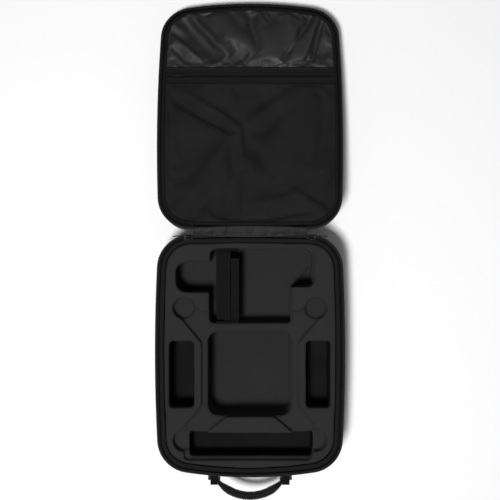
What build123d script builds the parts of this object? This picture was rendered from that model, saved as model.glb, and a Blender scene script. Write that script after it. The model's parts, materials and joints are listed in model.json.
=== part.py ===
from build123d import *
import os
from math import asin, atan2, cos, degrees, hypot, radians, sin, sqrt, tan

# Drone carrying case, standing open: the base rests on its flat bottom and the lid lies folded back,
# with its far edge on the same surface. Millimetres. The origin is the centre of the base's bottom
# face, +X runs across the case, +Y runs from the handle end to the hinge, and +Z is up.

# Outline at the rim: the hinge end is nearly straight and the handle end is bowed
case_width = 350
case_length = 448
side_bow = 7
hinge_bow = 4
handle_bow = 18
corner_radius = 62

# Moulded shells, each measured from its outer floor to the plane where base and lid meet
base_height = 158
lid_depth = 72
rim_drop = 10
wall = 5
base_draft = 3
lid_draft = 7
base_edge_radius = 32
lid_edge_radius = 40
fit_gap = 0.3

# Fabric hinge: it stops short of the corners, and holds the two outlines apart
hinge_corner_gap = 8
hinge_reach = 4.5
floor_gap = 0.2
gusset_thickness = 1.2

# Rim trim, as distances in from the outline and heights from the parting plane
piping_inset = 0.2
piping_width = 4.6
piping_height = 4.6
piping_rounding = 2.0
tape_inset = 5.8
tape_thickness = 1.0
tape_depth = 15
coil_radius = 1.6
coil_rounding = 1.2
coil_drop = 3.0
stop_width = 1.8
binding_inset = 7.6
binding_width = 6.8
binding_height = 5
binding_drop = 6
binding_rounding = 2.2

# Foam insert, as heights above the resting surface
foam_binding_gap = 2.6
foam_top_drop = 8
foam_glue_line = 0.1
pad_thickness = 15
tray_depth = 16
pod_depth = 26
controller_depth = 100
grip_depth = 118
battery_depth = 104
slot_depth = 92

# Drone cut-out
drone_y = -35
drone_body = 156
drone_body_rounding = 20
pod_offset = 122
pod_radius = 20
arm_half_width = 16
arm_reach = 60
arm_root_half_width = 24
tray_half_width = 89
tray_hinge_side = 81
tray_rounding = 12

# Controller, battery and slot cut-outs
upper_well = (-74, 119, 126, 197)
lower_well = (-75, 77, 58.5, 140)
side_well = (-137, -60, 116, 173)
well_rounding = 13
lower_well_rounding = 8
side_well_rounding = 20
grip_width = 36
grip_length = 40
battery_width = 46
battery_length = 123
battery_x = 126
battery_rounding = 6
slot_pocket = (-112, 116, -188, -143)
slot_ledge = (-121, 112, -193, -150)
slot_rounding = 6

# Controller strap
strap_thickness = 2
strap_eye_radius = 2
loop_strap_x = (-62, -36)
hook_strap_x = (-47, -20)
strap_tab_depth = 4
strap_tab_height = 13
strap_layer_drop = 7
loop_strap_rise = 5.5
loop_strap_end = (1, -2)
hook_strap_rise = 3.5
hook_strap_end = (12, 1)
patch_place = 0.2
patch_length = 18
patch_side_gap = 0.5
patch_thickness = 1.2

# Handle at the end of the base
handle_height = 112
handle_reach = 6
handle_outer_radius = 86.5
handle_thickness = 13
handle_apex = 49
handle_webbing = 24
handle_root_webbing = 14
handle_root_gap = 1.5
handle_taper = 15
handle_eye_x = (60, 74)
handle_eye_radius = 6
handle_neck_width = 10
handle_neck_height = 11
handle_pin_radius = 2.5
handle_pin_play = 0.05
lug_thickness = 4
lug_radius = 7
mount_x = (30, 79)
mount_height = 24
mount_thickness = 4
rivet_x = (37, 48)
rivet_radius = 2
rivet_head_radius = 4.5
rivet_head = 1.6
rivet_outer_gap = 1.2
rivet_inner_gap = 0.8

# Main zip sliders
slider_length = 11
slider_height = 9.2
slider_plate = 1.4
slider_clearance = 0.4
slider_divider_length = 3
slider_divider_clearance = 0.3
slider_angle = 84
slider_ear_length = 4
slider_ear_height = 1.2
slider_ear_cover = 1.6
pull_pin_radius = 0.9
pull_pin_play = 0.2
pull_pin_back = 2
pull_pin_out = 5.9
pull_eye_radius = 2.1
pull_eye_drop = 0.4
pull_length = 22
pull_height = 6.5
pull_thickness = 1.8

# Pocket in the lid, as distances from the lid's far edge
panel_inset = 15
panel_thickness = 1.4
panel_drop = 8
satin_end = 131
band_end = 165
pocket_tape_thickness = 1.0
pocket_tape_lift = 0.5
pocket_coil_radius = 1.5
pocket_coil_clearance = 0.15
pocket_coil_end = 6
pocket_slider_end = 11
pocket_slider_length = 11
pocket_slider_width = 8
pocket_slider_plate = 1.2
pocket_flange = 1.4
pocket_flange_lift = 0.1
pocket_ear_length = 3.4
pocket_ear_thickness = 1.2
pocket_ear_out = 3.3
pocket_ear_lift = 2.5
pocket_pin_length = 7
pocket_pin_gap = 1.0
pocket_pull_length = 17
pocket_pull_width = 5
pocket_pull_thickness = 1.4
pocket_pull_eye_radius = 1.6
lining_thickness = 1.0
lining_top_gap = 1

half_width = case_width / 2
half_length = case_length / 2
rim_height = base_height - rim_drop
hinge_y = half_length + hinge_reach
hinge_half_width = half_width - corner_radius - hinge_corner_gap
coil_inset = tape_inset + tape_thickness / 2
coil_top = coil_radius - coil_drop
tape_top = -coil_radius - coil_drop
foam_inset = binding_inset + binding_width + foam_binding_gap
slider_channel = coil_radius + slider_clearance
slider_divider = -2 * (coil_top + slider_divider_clearance)
pocket_coil_half_length = half_width - panel_inset - pocket_coil_end
pocket_slider_x = pocket_slider_end - pocket_coil_half_length
pocket_coil_y = -half_length + (satin_end + band_end) / 2

# The lid lies back until its rounded far edge touches the resting surface
lid_edge_run = lid_edge_radius / tan(radians(90 + lid_draft) / 2)
lid_floor_inset = (lid_depth - rim_drop) * tan(radians(lid_draft))
lid_edge_out = hinge_reach + case_length - lid_floor_inset - lid_edge_run
lid_edge_down = lid_depth - lid_edge_radius
lid_edge_height = base_height - lid_edge_radius - floor_gap
lid_droop = asin(lid_edge_height / hypot(lid_edge_out, lid_edge_down)) - atan2(lid_edge_down, lid_edge_out)

# Each half has the same frame: its origin at the middle of its outline on the parting plane, local y
# towards the hinge and local z out of the half
base_plane = Plane(origin=(0, 0, base_height), x_dir=(1, 0, 0), z_dir=(0, 0, 1))
lid_origin = (0, hinge_y + hinge_y * cos(lid_droop), base_height - hinge_y * sin(lid_droop))
lid_plane = Plane(origin=lid_origin, x_dir=(-1, 0, 0), z_dir=(0, sin(lid_droop), cos(lid_droop)))

pieces = {}


# The outline is eight tangent arcs. An inset outline keeps their centres, so every band is parallel.
side_x = half_width - side_bow
handle_corner_y = half_length - handle_bow
hinge_corner_y = half_length - hinge_bow
with BuildSketch() as full_outline:
    with BuildLine():
        ThreePointArc((-side_x, -handle_corner_y), (0, -half_length), (side_x, -handle_corner_y))
        ThreePointArc((side_x, -handle_corner_y), (half_width, 0), (side_x, hinge_corner_y))
        ThreePointArc((side_x, hinge_corner_y), (0, half_length), (-side_x, hinge_corner_y))
        ThreePointArc((-side_x, hinge_corner_y), (-half_width, 0), (-side_x, -handle_corner_y))
    make_face()
    fillet(full_outline.vertices(), corner_radius)
rim_arcs = full_outline.face().outer_wire().order_edges()


def rim_outline(inset):
    with BuildSketch() as outline:
        with BuildLine():
            for arc in rim_arcs:
                centre = arc.arc_center
                scale = 1 - inset / arc.radius
                ThreePointArc(*[centre + (arc @ t - centre) * scale for t in (0, 0.5, 1)])
        make_face()
    return outline.sketch


def rectangle(bounds, rounding=0.0):
    x0, x1, y0, y1 = bounds
    with BuildSketch() as shape:
        with Locations(((x0 + x1) / 2, (y0 + y1) / 2)):
            Rectangle(x1 - x0, y1 - y0)
        if rounding:
            fillet(shape.vertices(), rounding)
    return shape.sketch


def block(bounds, low, high):
    with BuildPart() as solid:
        with BuildSketch(Plane.XY.offset(low)):
            add(rectangle(bounds))
        extrude(amount=high - low)
    return solid.part


# The solid that fills a half to a given inset and floor, with drafted walls and a rounded lower edge
def moulded(plane, depth, draft, edge_radius, inset, floor):
    height = depth - rim_drop - floor
    with BuildPart() as body:
        with BuildSketch(plane.offset(floor - depth)):
            add(rim_outline(inset + height * tan(radians(draft))))
        with BuildSketch(plane.offset(-rim_drop)):
            add(rim_outline(inset))
        loft(ruled=True)
        fillet(body.faces().sort_by(Axis(plane.origin, plane.z_dir))[0].edges(), edge_radius)
    return body.part


def base_fill(inset, floor):
    return moulded(base_plane, base_height, base_draft, base_edge_radius - floor, inset, floor)


def lid_fill(inset, floor):
    return moulded(lid_plane, lid_depth, lid_draft, lid_edge_radius - floor, inset, floor)


# A band that follows the rim between two insets and two heights from the parting plane
def rim_ring(plane, outer, inner, low, high):
    with BuildPart() as ring:
        with BuildSketch(plane.offset(low)):
            add(rim_outline(outer))
            add(rim_outline(inner), mode=Mode.SUBTRACT)
        extrude(amount=high - low)
    return ring.part


def rim_bead(plane, inset, width, low, height, rounding, both_sides):
    with BuildPart() as bead:
        add(rim_ring(plane, inset, inset + width, low, low + height))
        ends = bead.faces().sort_by(Axis(plane.origin, plane.z_dir))
        edges = ends[-1].edges() + (ends[0].edges() if both_sides else [])
        fillet(edges, rounding)
    return bead.part


# The stretch of rim that the fabric hinge takes, as a block in a half's frame
def hinge_gap(plane, half_span):
    with BuildPart() as gap:
        with BuildSketch(plane.offset(-lid_depth)):
            with Locations((0, half_length)):
                Rectangle(2 * half_span, 2 * corner_radius)
        extrude(amount=2 * lid_depth)
    return gap.part


def finish(name, piece):
    piece.part.label = name
    pieces[name] = piece


# Moulded shells

with BuildPart() as base_shell:
    add(base_fill(0, 0))
    add(base_fill(wall, wall), mode=Mode.SUBTRACT)
    for side in (-1, 1):
        for x in rivet_x:
            with Locations(Plane(origin=(side * x, -half_length, handle_height), z_dir=(0, -1, 0))):
                Cylinder(rivet_radius + fit_gap / 2, 8 * wall, mode=Mode.SUBTRACT)
finish("base_shell", base_shell)

with BuildPart() as lid_shell:
    add(lid_fill(0, 0))
    add(lid_fill(wall, wall), mode=Mode.SUBTRACT)
finish("lid_shell", lid_shell)


# Rim trim, the same on both halves: piping, zip tape, coil with its end stops, binding, hinge leaf

for half, plane in (("base", base_plane), ("lid", lid_plane)):
    with BuildPart() as piping:
        add(rim_bead(plane, piping_inset, piping_width, -rim_drop, piping_height, piping_rounding, False))
    finish(f"{half}_piping", piping)

    with BuildPart() as zip_tape:
        add(rim_ring(plane, tape_inset, tape_inset + tape_thickness, -tape_depth, tape_top))
        add(hinge_gap(plane, hinge_half_width + fit_gap), mode=Mode.SUBTRACT)
    finish(f"{half}_zip_tape", zip_tape)

    with BuildPart() as zip_coil:
        add(rim_bead(plane, coil_inset - coil_radius, 2 * coil_radius, tape_top,
                     2 * coil_radius, coil_rounding, True))
        add(hinge_gap(plane, hinge_half_width + 2 * fit_gap + stop_width), mode=Mode.SUBTRACT)
    finish(f"{half}_zip_coil", zip_coil)

    with BuildPart() as zip_stops:
        add(rim_ring(plane, coil_inset - coil_radius, coil_inset + coil_radius, tape_top, coil_top))
        add(hinge_gap(plane, hinge_half_width + fit_gap + stop_width), mode=Mode.INTERSECT)
        add(hinge_gap(plane, hinge_half_width + fit_gap), mode=Mode.SUBTRACT)
    finish(f"{half}_zip_stops", zip_stops)

    with BuildPart() as binding:
        add(rim_bead(plane, binding_inset, binding_width, -binding_drop - binding_height,
                     binding_height, binding_rounding, True))
    finish(f"{half}_binding", binding)

    with BuildPart() as gusset:
        add(rim_ring(plane, tape_inset, tape_inset + tape_thickness, -tape_depth, -fit_gap))
        add(hinge_gap(plane, hinge_half_width), mode=Mode.INTERSECT)
        with BuildSketch(plane.offset(-fit_gap - gusset_thickness)):
            leaf = (-hinge_half_width, hinge_half_width, half_length - corner_radius / 2, hinge_y - fit_gap)
            add(rectangle(leaf))
            add(rim_outline(tape_inset + fit_gap), mode=Mode.SUBTRACT)
        extrude(amount=gusset_thickness)
    finish(f"hinge_gusset_{half}", gusset)


# Foam insert: a floor pad that fills the shell, and three laminated layers with the cut-outs, each
# glued up from four blocks that meet across the middles of the wells

foam_top = base_height - foam_top_drop
core_bottom = wall + fit_gap + pad_thickness
pods_bottom = foam_top - pod_depth
tray_bottom = foam_top - tray_depth

with BuildPart() as foam_floor_pad:
    add(base_fill(wall + fit_gap, wall + fit_gap))
    split(bisect_by=Plane.XY.offset(core_bottom), keep=Keep.BOTTOM)
finish("foam_floor_pad", foam_floor_pad)


def drone_body_well():
    with BuildSketch() as well:
        with Locations((0, drone_y)):
            RectangleRounded(drone_body, drone_body, drone_body_rounding)
    return well.sketch


def motor_pods():
    with BuildSketch() as pods:
        with Locations((0, drone_y)):
            with GridLocations(2 * pod_offset, 2 * pod_offset, 2, 2):
                Circle(pod_radius)
    return pods.sketch


# Arms that widen from the motor pods to the body, joined by the waist of the drone
def drone_tray():
    tip = pod_offset
    root = pod_offset - arm_reach
    across = arm_half_width * sqrt(0.5)
    root_across = arm_root_half_width * sqrt(0.5)
    arm = ((tip + across, tip - across), (tip - across, tip + across),
           (root - root_across, root + root_across), (root + root_across, root - root_across))
    waist = (-tray_half_width, tray_half_width, drone_y - drone_body / 2, tray_hinge_side)
    with BuildSketch() as tray:
        add(rectangle(waist))
        add(motor_pods())
        for side in (-1, 1):
            for end in (-1, 1):
                with BuildLine():
                    corners = [(side * x, drone_y + end * y) for x, y in arm]
                    Polyline(*corners, close=True)
                make_face()
        offset(amount=tray_rounding)
        offset(amount=-tray_rounding)
    return tray.sketch


def controller_well():
    with BuildSketch() as well:
        add(rectangle(upper_well, well_rounding))
        add(rectangle(lower_well, lower_well_rounding))
        add(rectangle(side_well, side_well_rounding))
    return well.sketch


# The corner of the controller well that drops deeper, for the grip
def grip_well():
    x1 = upper_well[1] - fit_gap
    y0 = upper_well[2] + fit_gap
    with BuildSketch() as well:
        with BuildLine():
            Polyline((x1 - grip_width, y0), (x1, y0), (x1, y0 + grip_length), close=True)
        make_face()
        add(rectangle(upper_well, well_rounding), mode=Mode.INTERSECT)
    return well.sketch


def battery_pockets():
    with BuildSketch() as pockets:
        with Locations((0, drone_y)):
            with GridLocations(2 * battery_x, 1, 2, 1):
                RectangleRounded(battery_width, battery_length, battery_rounding)
    return pockets.sketch


def cut_down(sketch, top, bottom):
    with BuildPart() as cut:
        with BuildSketch(Plane.XY.offset(bottom)):
            add(sketch)
        extrude(amount=top - bottom)
    return cut.part


deep_cuts = (
    (drone_body_well(), 2 * foam_top),
    (controller_well(), controller_depth),
    (grip_well(), grip_depth),
    (battery_pockets(), battery_depth),
    (rectangle(slot_pocket, slot_rounding), slot_depth),
)
pod_cuts = ((motor_pods(), pod_depth),)
tray_cuts = ((drone_tray(), tray_depth), (rectangle(slot_ledge, slot_rounding), tray_depth))

foam_layers = (
    ("core", core_bottom, pods_bottom - foam_glue_line, deep_cuts),
    ("pod_layer", pods_bottom, tray_bottom - foam_glue_line, deep_cuts + pod_cuts),
    ("tray_layer", tray_bottom, foam_top, deep_cuts + pod_cuts + tray_cuts),
)
slot_middle = (slot_pocket[2] + slot_pocket[3]) / 2
controller_middle = (upper_well[2] + side_well[3]) / 2
foam_blocks = (
    ("handle_end", -half_length, slot_middle),
    ("front", slot_middle + foam_glue_line, drone_y),
    ("rear", drone_y + foam_glue_line, controller_middle),
    ("hinge_end", controller_middle + foam_glue_line, half_length),
)
for layer_name, bottom, top, cuts in foam_layers:
    for end, y0, y1 in foam_blocks:
        with BuildPart() as foam_block:
            with BuildSketch(Plane.XY.offset(bottom)):
                add(rim_outline(foam_inset))
                add(rectangle((-half_width, half_width, y0, y1)), mode=Mode.INTERSECT)
            extrude(amount=top - bottom)
            for sketch, depth in cuts:
                floor = max(foam_top - depth, bottom - 1)
                add(cut_down(sketch, foam_top + 1, floor), mode=Mode.SUBTRACT)
        finish(f"foam_{layer_name}_{end}", foam_block)


# Controller strap: two lengths of webbing that cross the well, one over the other

well_hinge_wall = upper_well[3]
well_handle_wall = lower_well[2]
strap_tab_x = (loop_strap_x[0], hook_strap_x[1])
eye_setback = strap_tab_depth + 2 * fit_gap + strap_eye_radius
loop_pivot = (well_hinge_wall - eye_setback, foam_top - fit_gap - strap_eye_radius)
hook_pivot = (well_handle_wall + eye_setback, loop_pivot[1] - strap_layer_drop)
loop_end = (hook_pivot[0] + loop_strap_end[0], loop_pivot[1] + loop_strap_end[1])
hook_end = (loop_pivot[0] - hook_strap_end[0], hook_pivot[1] + hook_strap_end[1])


def strap_tab(wall_y, side, top):
    near = wall_y + side * fit_gap
    far = near + side * strap_tab_depth
    bounds = (*strap_tab_x, min(near, far), max(near, far))
    return block(bounds, top - strap_tab_height, top)


# The middle line of a strap, from its pivot over a shallow arch, in the plane across the case's width
def strap_line(pivot, end, rise):
    with BuildLine() as line:
        middle = ((pivot[0] + end[0]) / 2, (pivot[1] + end[1]) / 2 + rise)
        ThreePointArc(pivot, middle, end)
    return line.line


def strap(bounds, pivot, line):
    with BuildPart() as webbing:
        with BuildSketch(Plane.YZ.offset(bounds[0])):
            with BuildLine():
                add(line)
                offset(amount=strap_thickness / 2)
            make_face()
            with Locations(pivot):
                Circle(strap_eye_radius)
        extrude(amount=bounds[1] - bounds[0])
    return webbing.part


with BuildPart() as strap_anchor:
    add(strap_tab(well_hinge_wall, -1, loop_pivot[1]))
finish("strap_anchor", strap_anchor)

with BuildPart() as strap_keeper:
    add(strap_tab(well_handle_wall, 1, hook_pivot[1] + strap_eye_radius))
finish("strap_keeper", strap_keeper)

with BuildPart() as loop_strap:
    add(strap(loop_strap_x, loop_pivot, strap_line(loop_pivot, loop_end, loop_strap_rise)))
finish("loop_strap", loop_strap)

hook_line = strap_line(hook_pivot, hook_end, hook_strap_rise)
with BuildPart() as hook_strap:
    add(strap(hook_strap_x, hook_pivot, hook_line))
finish("hook_strap", hook_strap)

# The patch of hooks lies on the lower strap, beside the upper one
patch_x = (loop_strap_x[1] + hook_strap_x[1]) / 2
patch_middle = hook_line @ patch_place
patch_along = hook_line % patch_place
patch_lift = (strap_thickness + patch_thickness) / 2 + fit_gap / 2
patch_plane = Plane(
    origin=(patch_x, patch_middle.X - patch_lift * patch_along.Y,
            patch_middle.Y + patch_lift * patch_along.X),
    x_dir=(1, 0, 0),
    z_dir=(0, -patch_along.Y, patch_along.X),
)
with BuildPart(patch_plane) as strap_hook_patch:
    Box(hook_strap_x[1] - loop_strap_x[1] - 2 * patch_side_gap, patch_length, patch_thickness)
finish("strap_hook_patch", strap_hook_patch)


# Handle: a padded arch on two pinned mounts, which are riveted to the end wall of the base

pivot_y = -half_length - handle_reach
end_radius = ((half_width - side_bow) ** 2 + handle_bow ** 2) / (2 * handle_bow)


def end_wall_y(x, z):
    bow = end_radius - sqrt(end_radius ** 2 - x ** 2)
    return -half_length + bow + (rim_height - z) * tan(radians(base_draft))


handle_plane = Plane.XY.offset(handle_height - handle_webbing / 2)
arch_centre_y = -half_length - handle_apex + handle_outer_radius
arch_start_y = pivot_y - lug_radius - handle_root_gap
neck_length = pivot_y - arch_start_y + handle_root_gap

with BuildPart() as handle:
    with BuildSketch(handle_plane):
        with Locations((0, arch_centre_y)):
            Circle(handle_outer_radius)
            Circle(handle_outer_radius - handle_thickness, mode=Mode.SUBTRACT)
        add(rectangle((-case_width, case_width, arch_start_y, case_length)), mode=Mode.SUBTRACT)
    extrude(amount=handle_webbing)
    with BuildSketch(Plane.YZ.offset(-case_width / 2)):
        root = handle_root_webbing / 2
        full = handle_webbing / 2
        taper_end_y = arch_start_y - handle_taper
        with BuildLine():
            Polyline(
                (arch_start_y, handle_height - root),
                (arch_start_y, handle_height + root),
                (taper_end_y, handle_height + full),
                (-case_length, handle_height + full),
                (-case_length, handle_height - full),
                (taper_end_y, handle_height - full),
                close=True,
            )
        make_face()
    extrude(amount=case_width, mode=Mode.INTERSECT)
    for side in (-1, 1):
        eye_middle = side * (handle_eye_x[0] + handle_eye_x[1]) / 2
        eye_length = handle_eye_x[1] - handle_eye_x[0]
        with Locations(Plane(origin=(eye_middle, pivot_y, handle_height), z_dir=(1, 0, 0))):
            Cylinder(handle_eye_radius, eye_length)
        neck_x = side * (handle_eye_x[0] + handle_neck_width / 2)
        with Locations((neck_x, pivot_y - neck_length / 2, handle_height)):
            Box(handle_neck_width, neck_length, handle_neck_height)
        with Locations(Plane(origin=(eye_middle, pivot_y, handle_height), z_dir=(1, 0, 0))):
            Cylinder(handle_pin_radius + fit_gap / 2, 2 * eye_length, mode=Mode.SUBTRACT)
finish("handle", handle)


def mirrored_pair(name, solid):
    for end, turned in (("right", solid), ("left", mirror(solid, about=Plane.YZ))):
        with BuildPart() as piece:
            add(turned)
        finish(f"{name}_{end}", piece)


def lug(x0, x1):
    with BuildPart() as plate:
        with BuildSketch(Plane.YZ.offset(x0)):
            with Locations((pivot_y, handle_height)):
                Circle(lug_radius)
            with Locations((pivot_y + corner_radius / 2, handle_height)):
                Rectangle(corner_radius, 2 * lug_radius)
        extrude(amount=x1 - x0)
    return plate.part


with BuildPart() as mount:
    add(lug(handle_eye_x[0] - fit_gap - lug_thickness, handle_eye_x[0] - fit_gap))
    add(lug(handle_eye_x[1] + fit_gap, handle_eye_x[1] + fit_gap + lug_thickness))
    with BuildPart(mode=Mode.PRIVATE) as mount_pad:
        pad_low = handle_height - mount_height / 2
        add(base_fill(-mount_thickness - fit_gap / 3, 0))
        add(block((*mount_x, -case_length, 0), pad_low, pad_low + mount_height), mode=Mode.INTERSECT)
    add(mount_pad.part)
    add(base_fill(-fit_gap / 3, 0), mode=Mode.SUBTRACT)
    lug_middle = (handle_eye_x[0] + handle_eye_x[1]) / 2
    with Locations(Plane(origin=(lug_middle, pivot_y, handle_height), z_dir=(1, 0, 0))):
        Cylinder(handle_pin_radius + handle_pin_play, case_width / 4, mode=Mode.SUBTRACT)
    for x in rivet_x:
        with Locations(Plane(origin=(x, -half_length, handle_height), z_dir=(0, -1, 0))):
            Cylinder(rivet_radius + fit_gap / 2, 8 * wall, mode=Mode.SUBTRACT)
mirrored_pair("handle_mount", mount.part)

with BuildPart() as pin:
    pin_length = handle_eye_x[1] - handle_eye_x[0] + 2 * (lug_thickness + fit_gap)
    with Locations(Plane(origin=(lug_middle, pivot_y, handle_height), z_dir=(1, 0, 0))):
        Cylinder(handle_pin_radius, pin_length)
mirrored_pair("handle_pin", pin.part)

with BuildPart() as handle_rivets:
    for side in (-1, 1):
        for x in rivet_x:
            outer = end_wall_y(x + rivet_head_radius, handle_height) - mount_thickness - rivet_outer_gap
            inner = end_wall_y(x - rivet_head_radius, handle_height) + wall + rivet_inner_gap
            for face, out in ((outer, -1), (inner, 1)):
                with Locations(Plane(origin=(side * x, face, handle_height), z_dir=(0, out, 0))):
                    Cylinder(rivet_head_radius, rivet_head, align=(Align.CENTER, Align.CENTER, Align.MIN))
            with Locations(Plane(origin=(side * x, outer, handle_height), z_dir=(0, 1, 0))):
                Cylinder(rivet_radius, inner - outer, align=(Align.CENTER, Align.CENTER, Align.MIN))
finish("handle_rivets", handle_rivets)


# Main zip sliders: each runs on the base's coil around its hinge-side corner

corner_arcs = [arc for arc in rim_arcs if abs(arc.radius - corner_radius) < 0.01]
corner_centre = max((arc.arc_center for arc in corner_arcs), key=lambda point: point.X + point.Y)
coil_path_radius = corner_radius - coil_inset
slider_turn = radians(slider_angle)
slider_plane = Plane(
    origin=(corner_centre.X + coil_path_radius * cos(slider_turn),
            corner_centre.Y + coil_path_radius * sin(slider_turn), base_height),
    x_dir=(sin(slider_turn), -cos(slider_turn), 0),
    z_dir=(0, 0, 1),
)
pull_pin_x = slider_length / 2 - pull_pin_back
plate_out = slider_channel + slider_plate / 2
ear_reach = pull_pin_out + slider_ear_cover - slider_channel
ear_out = slider_channel + ear_reach / 2
ear_height = (slider_height - slider_ear_height) / 2

with BuildPart(slider_plane) as slider:
    with Locations((0, plate_out, 0), (0, -plate_out, 0)):
        Box(slider_length, slider_plate, slider_height)
    with Locations((pull_pin_x, 0, 0)):
        Box(slider_divider_length, 2 * plate_out, slider_divider)
    with Locations((pull_pin_x, ear_out, ear_height), (pull_pin_x, ear_out, -ear_height)):
        Box(slider_ear_length, ear_reach, slider_ear_height)
    with Locations((pull_pin_x, pull_pin_out, 0)):
        Cylinder(pull_pin_radius, slider_height - slider_ear_height)
mirrored_pair("zip_slider", slider.part)

with BuildPart(slider_plane) as pull:
    with Locations((pull_pin_x + pull_length / 2, pull_pin_out, 0)):
        Box(pull_length, pull_thickness, pull_height)
    with Locations((pull_pin_x, pull_pin_out, 0)):
        Cylinder(pull_eye_radius, pull_height - 2 * pull_eye_drop)
        Cylinder(pull_pin_radius + pull_pin_play, slider_height, mode=Mode.SUBTRACT)
mirrored_pair("zip_pull", pull.part)


# Pocket in the lid: a satin panel and a mesh panel with a zip between them

def lid_panel(start, end, top, thickness):
    with BuildPart() as panel:
        with BuildSketch(lid_plane.offset(top - thickness)):
            add(rim_outline(panel_inset))
            span = (-case_width, case_width, start - half_length, end - half_length)
            add(rectangle(span), mode=Mode.INTERSECT)
        extrude(amount=thickness)
    return panel.part


with BuildPart() as lid_lining:
    add(lid_fill(wall + fit_gap, wall + fit_gap))
    add(lid_fill(wall + fit_gap + lining_thickness, wall + fit_gap + lining_thickness), mode=Mode.SUBTRACT)
    split(bisect_by=lid_plane.offset(-tape_depth - lining_top_gap), keep=Keep.BOTTOM)
finish("lid_lining", lid_lining)

band_middle = (satin_end + band_end) / 2
coil_gap = pocket_coil_radius + pocket_coil_clearance
pocket_tape_top = pocket_tape_lift - panel_drop
pocket_panels = (
    ("pocket_satin_panel", 0, satin_end - fit_gap, -panel_drop, panel_thickness),
    ("pocket_zip_tape_upper", satin_end, band_middle - coil_gap, pocket_tape_top, pocket_tape_thickness),
    ("pocket_zip_tape_lower", band_middle + coil_gap, band_end, pocket_tape_top, pocket_tape_thickness),
    ("pocket_mesh_panel", band_end + fit_gap, case_length, -panel_drop, panel_thickness),
)
for name, start, end, top, thickness in pocket_panels:
    with BuildPart() as panel:
        add(lid_panel(start, end, top, thickness))
    finish(name, panel)

with BuildPart(lid_plane) as pocket_zip_coil:
    with Locations(Location((0, pocket_coil_y, pocket_tape_top), (0, 90, 0))):
        Cylinder(pocket_coil_radius, 2 * pocket_coil_half_length)
finish("pocket_zip_coil", pocket_zip_coil)

slider_top = pocket_tape_top + pocket_coil_radius + fit_gap
flange_bottom = pocket_tape_top + fit_gap
pocket_pin_z = slider_top + pocket_slider_plate + pull_pin_radius + pocket_pin_gap
pocket_pin = Location((-pocket_slider_x, pocket_coil_y, pocket_pin_z), (90, 0, 0))
with BuildPart(lid_plane) as pocket_slider:
    with Locations((-pocket_slider_x, pocket_coil_y, slider_top + pocket_slider_plate / 2)):
        Box(pocket_slider_length, pocket_slider_width, pocket_slider_plate)
    for side in (-1, 1):
        flange_y = pocket_coil_y + side * (pocket_slider_width - pocket_flange) / 2
        flange_z = (slider_top + flange_bottom) / 2 + pocket_flange_lift
        with Locations((-pocket_slider_x, flange_y, flange_z)):
            Box(pocket_slider_length, pocket_flange, slider_top - flange_bottom)
        ear_y = pocket_coil_y + side * pocket_ear_out
        with Locations((-pocket_slider_x, ear_y, slider_top + pocket_ear_lift)):
            Box(pocket_ear_length, pocket_ear_thickness, pocket_ear_length)
    with Locations(pocket_pin):
        Cylinder(pull_pin_radius, pocket_pin_length)
finish("pocket_slider", pocket_slider)

with BuildPart(lid_plane) as pocket_pull:
    with Locations((-pocket_slider_x - pocket_pull_length / 2, pocket_coil_y, pocket_pin_z)):
        Box(pocket_pull_length, pocket_pull_width, pocket_pull_thickness)
    with Locations(pocket_pin):
        Cylinder(pocket_pull_eye_radius, pocket_pull_width)
        Cylinder(pull_pin_radius + pull_pin_play, 2 * pocket_pull_width, mode=Mode.SUBTRACT)
finish("pocket_pull", pocket_pull)


os.makedirs("parts", exist_ok=True)
for name, piece in pieces.items():
    export_step(piece.part, f"parts/{name}.step")

print("hinge line at y", hinge_y, "z", base_height, "lid droop in degrees", round(degrees(lid_droop), 4))
pull_pin = slider_plane.from_local_coords(Vector(pull_pin_x, pull_pin_out, 0))
print("corner centre", corner_centre, "slider pin", pull_pin)
print("pocket pin", lid_plane.from_local_coords(Vector(-pocket_slider_x, pocket_coil_y, pocket_pin_z)))
print("loop pivot", loop_pivot, "hook pivot", hook_pivot, "handle pivot", (pivot_y, handle_height))
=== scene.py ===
import bpy
import bmesh
import json
import math
import numpy as np
from mathutils import Matrix, Vector, noise


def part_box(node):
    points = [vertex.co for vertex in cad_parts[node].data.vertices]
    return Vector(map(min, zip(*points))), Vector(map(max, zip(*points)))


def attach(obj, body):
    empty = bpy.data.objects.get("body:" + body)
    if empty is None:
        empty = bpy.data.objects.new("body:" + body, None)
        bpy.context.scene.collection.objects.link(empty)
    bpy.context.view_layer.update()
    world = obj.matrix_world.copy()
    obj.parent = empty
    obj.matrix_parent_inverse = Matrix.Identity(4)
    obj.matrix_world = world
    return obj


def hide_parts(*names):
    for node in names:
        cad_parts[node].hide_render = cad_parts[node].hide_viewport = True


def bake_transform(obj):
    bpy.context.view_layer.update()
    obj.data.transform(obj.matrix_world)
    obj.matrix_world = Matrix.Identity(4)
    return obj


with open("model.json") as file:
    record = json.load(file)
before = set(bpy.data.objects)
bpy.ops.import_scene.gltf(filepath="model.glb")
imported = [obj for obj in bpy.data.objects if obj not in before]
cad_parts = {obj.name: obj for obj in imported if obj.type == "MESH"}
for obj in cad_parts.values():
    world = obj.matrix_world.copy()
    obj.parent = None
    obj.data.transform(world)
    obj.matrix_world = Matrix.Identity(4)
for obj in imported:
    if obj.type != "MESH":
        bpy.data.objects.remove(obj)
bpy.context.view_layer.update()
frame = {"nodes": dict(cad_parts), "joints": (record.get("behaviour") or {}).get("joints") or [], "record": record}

# Where things are: the hinge line, the plane where base and lid meet, and how far the open lid lies back
joints = {joint["name"]: joint for joint in frame["joints"]}
hingeY, rimZ = joints["lid_hinge"]["pos_m"][1:]
lidBack = math.radians(joints["lid_hinge"]["range_deg"][1]) - math.pi
outlineSlack = 0.0002   # the piping starts this far inside the outline
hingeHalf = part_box("hinge_gusset_base")[1].x
halfLong = -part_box("base_piping")[0].y + outlineSlack   # half the length of one half of the case
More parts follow.
